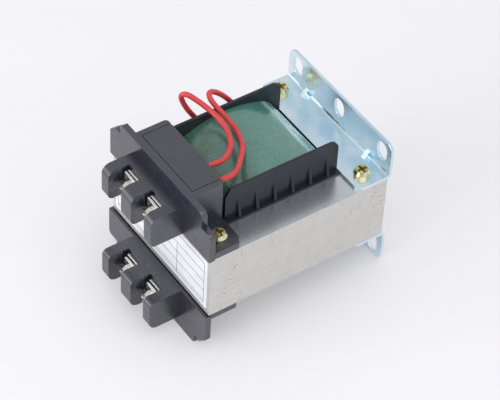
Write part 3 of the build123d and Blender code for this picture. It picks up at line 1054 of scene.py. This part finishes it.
@dataclass
class CoilAndBobbin:
    """The moulded former with its windings and their tape.

    Attributes:
        nodes: The CAD nodes by name.
        finishes: The materials.
        edge_mm: The rounding of the former's edges.
    """

    nodes: dict[str, bpy.types.Object]
    finishes: Finishes
    edge_mm: float = 0.18

    def build(self) -> list[bpy.types.Object]:
        """Dresses the former, the windings, the insulation and the tape.

        Returns:
            The dressed pieces, from the former out.
        """
        made = [soften(dress(self.nodes["bobbin"], self.finishes.bobbin), self.edge_mm)]
        for name in ("primary_winding", "secondary_winding"):
            made.append(dress(self.nodes[name], self.finishes.copper))
        made.append(dress(self.nodes["winding_insulation"], self.finishes.film))
        made.append(dress(self.nodes["outer_wrap"], self.finishes.tape))
        return made


@dataclass
class Leads:
    """The two red leads that loop over the coil into the upper housing.

    Attributes:
        finish: The insulation's material.
        diameter: The insulation's diameter in millimetres.
        order: The order of the smooth line.
        steps: The number of steps between two control points.
        roundness: Blender's measure of the faces round the insulation.
        routes: Control points of each lead in millimetres, by CAD node.
    """

    finish: bpy.types.Material
    diameter: float = 1.8
    order: int = 3
    steps: int = 10
    roundness: int = 6
    routes: dict[str, list[Point]] = field(default_factory=lambda: {
        "left_lead": [
            (-15.1, -40.2, 16.65), (-19.5, -40.2, 16.65), (-20.3, -42.2, 20.6), (-20.7, -44.9, 25.0),
            (-21.6, -46.5, 29.1), (-21.4, -46.8, 31.5), (-19.9, -45.8, 32.6), (-17.5, -43.8, 31.1),
            (-13.5, -41.1, 28.5), (-8.3, -40.3, 27.5), (-2.9, -40.9, 26.8), (1.7, -43.3, 26.5),
            (4.6, -46.8, 26.7), (6.1, -50.2, 27.1), (5.7, -53.7, 27.5), (5.7, -58.3, 27.5),
            (4.2, -61.0, 25.4), (0.4, -61.8, 24.07), (-4.0, -61.4, 24.07), (-8.0, -61.6, 24.07),
        ],
        "right_lead": [
            (-15.1, -27.0, 16.65), (-19.0, -27.0, 16.65), (-19.2, -28.4, 20.5), (-19.8, -31.8, 25.1),
            (-19.9, -35.2, 28.4), (-19.3, -37.9, 29.9), (-17.2, -38.9, 29.4), (-14.6, -38.1, 27.5),
            (-9.9, -37.2, 26.1), (-3.5, -37.2, 25.2), (2.1, -39.3, 25.1), (6.4, -42.9, 25.4),
            (10.4, -46.8, 26.1), (12.6, -50.2, 26.9), (12.8, -53.7, 27.5), (12.8, -58.3, 27.5),
            (12.0, -61.2, 25.6), (8.6, -62.2, 24.07), (4.6, -62.0, 24.07),
        ],
    })

    def build(self) -> list[bpy.types.Object]:
        """Runs each lead as a smooth line of its own points.

        Returns:
            The two leads.
        """
        made = []
        for node, points in self.routes.items():
            curve = bpy.data.curves.new(f"{node}_line", "CURVE")
            curve.dimensions = "3D"
            curve.bevel_depth = self.diameter / 2 * MM
            curve.bevel_resolution = self.roundness
            curve.use_fill_caps = True
            curve.resolution_u = self.steps
            line = curve.splines.new("NURBS")
            line.points.add(len(points) - 1)
            for spot, point in zip(line.points, points):
                spot.co = (*(MM * c for c in point), 1.0)
            line.order_u = self.order
            line.use_endpoint_u = True
            piece = bpy.data.objects.new(f"{node}_insulation", curve)
            bpy.context.scene.collection.objects.link(piece)
            curve.materials.append(self.finish)
            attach(piece, "root")
            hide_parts(node)
            made.append(piece)
        return made


@dataclass
class TerminalBlock:
    """One moulded block with its cover, terminals, clamp plates and screws.

    Attributes:
        nodes: The CAD nodes by name.
        finishes: The materials.
        side: Above or below the core.
        edge_mm: The rounding of the block's edges.
        cover_edge_mm: The rounding of its cover's edges.
        plate_edge_mm: The rounding of the terminals' and clamps' edges.
    """

    nodes: dict[str, bpy.types.Object]
    finishes: Finishes
    side: Side
    edge_mm: float = 0.25
    cover_edge_mm: float = 0.15
    plate_edge_mm: float = 0.12

    def build(self) -> list[bpy.types.Object]:
        """Dresses the block and what is screwed into it.

        Returns:
            The block, its cover, and each pocket's metal pieces.
        """
        prefix = self.side.value
        made = [
            soften(dress(self.nodes[f"{prefix}_terminal_block"], self.finishes.block), self.edge_mm),
            soften(dress(self.nodes[f"{prefix}_cover"], self.finishes.block), self.cover_edge_mm),
        ]
        for pocket in ("left", "right"):
            for part in ("terminal", "clamp"):
                plate = dress(self.nodes[f"{prefix}_{pocket}_{part}"], self.finishes.nickel)
                made.append(soften(plate, self.plate_edge_mm))
            made.append(dress(self.nodes[f"{prefix}_{pocket}_terminal_screw"], self.finishes.nickel))
        return made


@dataclass
class Bracket:
    """A bent and slotted sheet bracket.

    Attributes:
        nodes: The CAD nodes by name.
        finish: The plating.
        side: Above or below the core.
        edge_mm: The rounding of its edges.
    """

    nodes: dict[str, bpy.types.Object]
    finish: bpy.types.Material
    side: Side
    edge_mm: float = 0.12

    def build(self) -> list[bpy.types.Object]:
        """Dresses the bracket."""
        return [soften(dress(self.nodes[f"{self.side.value}_bracket"], self.finish), self.edge_mm)]


@dataclass
class CoreFasteners:
    """The four screws through the core with their washers and nuts.

    Attributes:
        nodes: The CAD nodes by name.
        finishes: The materials.
    """

    nodes: dict[str, bpy.types.Object]
    finishes: Finishes

    def build(self) -> list[bpy.types.Object]:
        """Dresses each screw, washer and nut.

        Returns:
            The dressed pieces, corner by corner.
        """
        made = []
        for corner in ("front_left", "front_right", "rear_left", "rear_right"):
            made.append(dress(self.nodes[f"core_screw_{corner}"], self.finishes.yellow_zinc))
            made.append(dress(self.nodes[f"washer_{corner}"], self.finishes.zinc))
            made.append(dress(self.nodes[f"nut_{corner}"], self.finishes.zinc))
        return made


@dataclass
class RatingLabel:
    """The bare label on the core's front: plain fields between ruled lines.

    Attributes:
        nodes: The CAD nodes by name.
        finishes: The materials.
        rule_mm: The width of a ruled line.
        lift_mm: How far the lines stand proud of the film.
        rows_mm: The heights of the level lines inside the frame.
        columns_mm: The places of the upright lines inside it.
        margin_mm: The frame's distance from the film's edge.
    """

    nodes: dict[str, bpy.types.Object]
    finishes: Finishes
    rule_mm: float = 0.22
    lift_mm: float = 0.02
    rows_mm: tuple[float, ...] = (8.6, 4.6, 0.6, -3.4, -7.6)
    columns_mm: tuple[float, ...] = (-9.0, 9.5)
    margin_mm: float = 1.6

    def build(self) -> list[bpy.types.Object]:
        """Dresses the film and rules its lines.

        Returns:
            The film, then the lines as one piece.
        """
        film = dress(self.nodes["rating_label"], self.finishes.label)
        low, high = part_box("rating_label")
        margin = self.margin_mm * MM
        half = self.rule_mm / 2 * MM
        front = low.y - self.lift_mm * MM
        left, right = low.x + margin, high.x - margin
        bottom, top = low.z + margin, high.z - margin
        bars = [(left, right, z * MM - half, z * MM + half) for z in self.rows_mm]
        bars += [(left, right, top - half, top + half), (left, right, bottom - half, bottom + half)]
        bars += [(x - half, x + half, bottom, top) for x in (left, right)]
        bars += [(x * MM - half, x * MM + half, bottom, self.rows_mm[1] * MM) for x in self.columns_mm]
        mesh = bmesh.new()
        for x0, x1, z0, z1 in bars:
            corners = [(x0, z0), (x1, z0), (x1, z1), (x0, z1)]
            front_ring = [mesh.verts.new((x, front, z)) for x, z in corners]
            back_ring = [mesh.verts.new((x, low.y, z)) for x, z in corners]
            mesh.faces.new(front_ring)
            mesh.faces.new(list(reversed(back_ring)))
            for i in range(4):
                j = (i + 1) % 4
                mesh.faces.new((front_ring[j], front_ring[i], back_ring[i], back_ring[j]))
        rules = piece_from_mesh("label_rules", mesh, self.finishes.ink)
        return [film, rules]


@dataclass(frozen=True)
class SoftLamp:
    """A rectangular soft light.

    Attributes:
        name: The lamp's name.
        place: Where it hangs, in metres.
        power: Its power in watts.
        size: Its width and height in metres.
        colour: The light's colour.
    """

    name: str
    place: Point
    power: float
    size: tuple[float, float]
    colour: Colour = (1.0, 1.0, 1.0)


@dataclass
class Studio:
    """Pale floor, soft lights and the camera at the photograph's angle.

    Attributes:
        paper: The floor's material.
        azimuth_deg: The camera's turn about the upright, from the front.
        elevation_deg: Its height over the horizon.
        roll_deg: Its turn about its own line of sight.
        focal_px: The lens's focal length in pixels of the photograph.
        frame_px: The photograph's width in pixels.
        sensor_mm: The sensor's width.
        shift_right_mm: How far right of the camera's axis the aim lies.
        shift_up_mm: How far above it.
        distance_mm: The camera's distance from the aim.
        aim_mm: The point that the camera is set from.
        near_m: The nearest distance that it sees.
        far_m: The furthest.
        front_rest_mm: Y and Z of the edge that rests on the floor in front.
        rear_rest_mm: Y and Z of the one at the rear.
        floor_half_m: Half the floor's side.
        lit_point: Where the lamps point, in metres.
        lamps: The soft lights.
        world_strength: The strength of the world's even glow.
        world_colour: Its colour.
    """

    paper: bpy.types.Material
    azimuth_deg: float = 53.484
    elevation_deg: float = 45.543
    roll_deg: float = 3.263
    focal_px: float = 2389.774
    frame_px: float = 500.0
    sensor_mm: float = 36.0
    shift_right_mm: float = -0.883
    shift_up_mm: float = -6.388
    distance_mm: float = 763.187
    aim_mm: Point = (0.0, -34.5, -12.25)
    near_m: float = 0.05
    far_m: float = 20.0
    front_rest_mm: tuple[float, float] = (-68.7, -29.65)
    rear_rest_mm: tuple[float, float] = (0.0, -25.25)
    floor_half_m: float = 3.0
    lit_point: Point = (0.0, -0.03, 0.0)
    lamps: tuple[SoftLamp, ...] = (
        SoftLamp("overhead_softbox", (0.32, -0.1, 0.76), 1.8, (0.7, 0.7)),
        SoftLamp("front_fill", (-0.15, -1.0, 0.28), 5.2, (1.0, 0.6), (1.0, 0.99, 1.0)),
        SoftLamp("right_fill", (1.0, 0.25, 0.45), 0.4, (0.8, 0.6), (1.0, 0.99, 0.98)),
    )
    world_strength: float = 0.74
    world_colour: Colour = (0.95, 0.97, 1.0)

    def camera_turn(self) -> Matrix:
        """The camera's rotation in the part's frame.

        Returns:
            The rotation, with the camera's axes as its columns.
        """
        azimuth, elevation = math.radians(self.azimuth_deg), math.radians(self.elevation_deg)
        roll = math.radians(self.roll_deg)
        back = Vector((
            math.sin(azimuth) * math.cos(elevation),
            -math.cos(azimuth) * math.cos(elevation),
            math.sin(elevation),
        ))
        right = Vector((math.cos(azimuth), math.sin(azimuth), 0.0))
        up = back.cross(right)
        rolled_right = math.cos(roll) * right + math.sin(roll) * up
        rolled_up = math.cos(roll) * up - math.sin(roll) * right
        return Matrix((rolled_right, rolled_up, back)).transposed()

    def place_camera(self) -> bpy.types.Object:
        """Sets the camera where the photograph was taken from.

        Returns:
            The camera.
        """
        data = bpy.data.cameras.new("photo_camera")
        data.sensor_width = self.sensor_mm
        data.lens = self.focal_px * self.sensor_mm / self.frame_px
        data.clip_start, data.clip_end = self.near_m, self.far_m
        camera = bpy.data.objects.new("photo_camera", data)
        bpy.context.scene.collection.objects.link(camera)
        turn = self.camera_turn()
        offset = turn @ Vector((-self.shift_right_mm, -self.shift_up_mm, self.distance_mm))
        place = Matrix.Translation((offset + Vector(self.aim_mm)) * MM)
        camera.matrix_world = place @ turn.to_4x4()
        bpy.context.scene.camera = camera
        return camera

    def lay_floor(self) -> bpy.types.Object:
        """Lays the paper under the edges that the transformer stands on.

        Returns:
            The floor.
        """
        (front_y, front_z), (rear_y, rear_z) = self.front_rest_mm, self.rear_rest_mm
        slope = (rear_z - front_z) / (rear_y - front_y)
        mesh = bmesh.new()
        reach = self.floor_half_m
        corners = []
        for x, y in ((-reach, -reach), (reach, -reach), (reach, reach), (-reach, reach)):
            corners.append(mesh.verts.new((x, y, front_z * MM + slope * (y - front_y * MM))))
        mesh.faces.new(corners)
        data = bpy.data.meshes.new("floor_paper")
        mesh.to_mesh(data)
        mesh.free()
        floor = bpy.data.objects.new("floor_paper", data)
        bpy.context.scene.collection.objects.link(floor)
        data.materials.append(self.paper)
        return floor

    def hang_lamps(self) -> None:
        """Hangs the soft lights and sets the world's even glow."""
        for kind in self.lamps:
            data = bpy.data.lights.new(kind.name, "AREA")
            data.shape = "RECTANGLE"
            data.size, data.size_y = kind.size
            data.energy = kind.power
            data.color = kind.colour
            lamp = bpy.data.objects.new(kind.name, data)
            bpy.context.scene.collection.objects.link(lamp)
            lamp.location = kind.place
            direction = Vector(self.lit_point) - Vector(kind.place)
            lamp.rotation_mode = "QUATERNION"
            lamp.rotation_quaternion = direction.to_track_quat("-Z", "Y")
        world = bpy.data.worlds.new("studio_air")
        world.use_nodes = True
        glow = world.node_tree.nodes["Background"]
        glow.inputs["Color"].default_value = (*self.world_colour, 1.0)
        glow.inputs["Strength"].default_value = self.world_strength
        bpy.context.scene.world = world

    def build(self) -> None:
        """Sets up the whole studio."""
        self.lay_floor()
        self.hang_lamps()
        self.place_camera()


def main() -> None:
    """Builds the transformer's pieces in order and reports each."""
    logging.basicConfig(level=logging.INFO, format="%(name)s: %(message)s")
    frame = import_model()
    nodes = frame["nodes"]
    bpy.context.scene.view_settings.view_transform = "Standard"
    finishes = Finishes()
    assemblies = [
        Core(finishes.laminations),
        CoilAndBobbin(nodes, finishes),
        TerminalBlock(nodes, finishes, Side.UPPER),
        TerminalBlock(nodes, finishes, Side.LOWER),
        Bracket(nodes, finishes.zinc, Side.UPPER),
        Bracket(nodes, finishes.zinc, Side.LOWER),
        CoreFasteners(nodes, finishes),
        RatingLabel(nodes, finishes),
        Leads(finishes.lead),
    ]
    for assembly in assemblies:
        for piece in assembly.build():
            log.info("%s: %s", type(assembly).__name__, piece.name)
    Studio(finishes.paper).build()


if __name__ == "__main__":
    main()
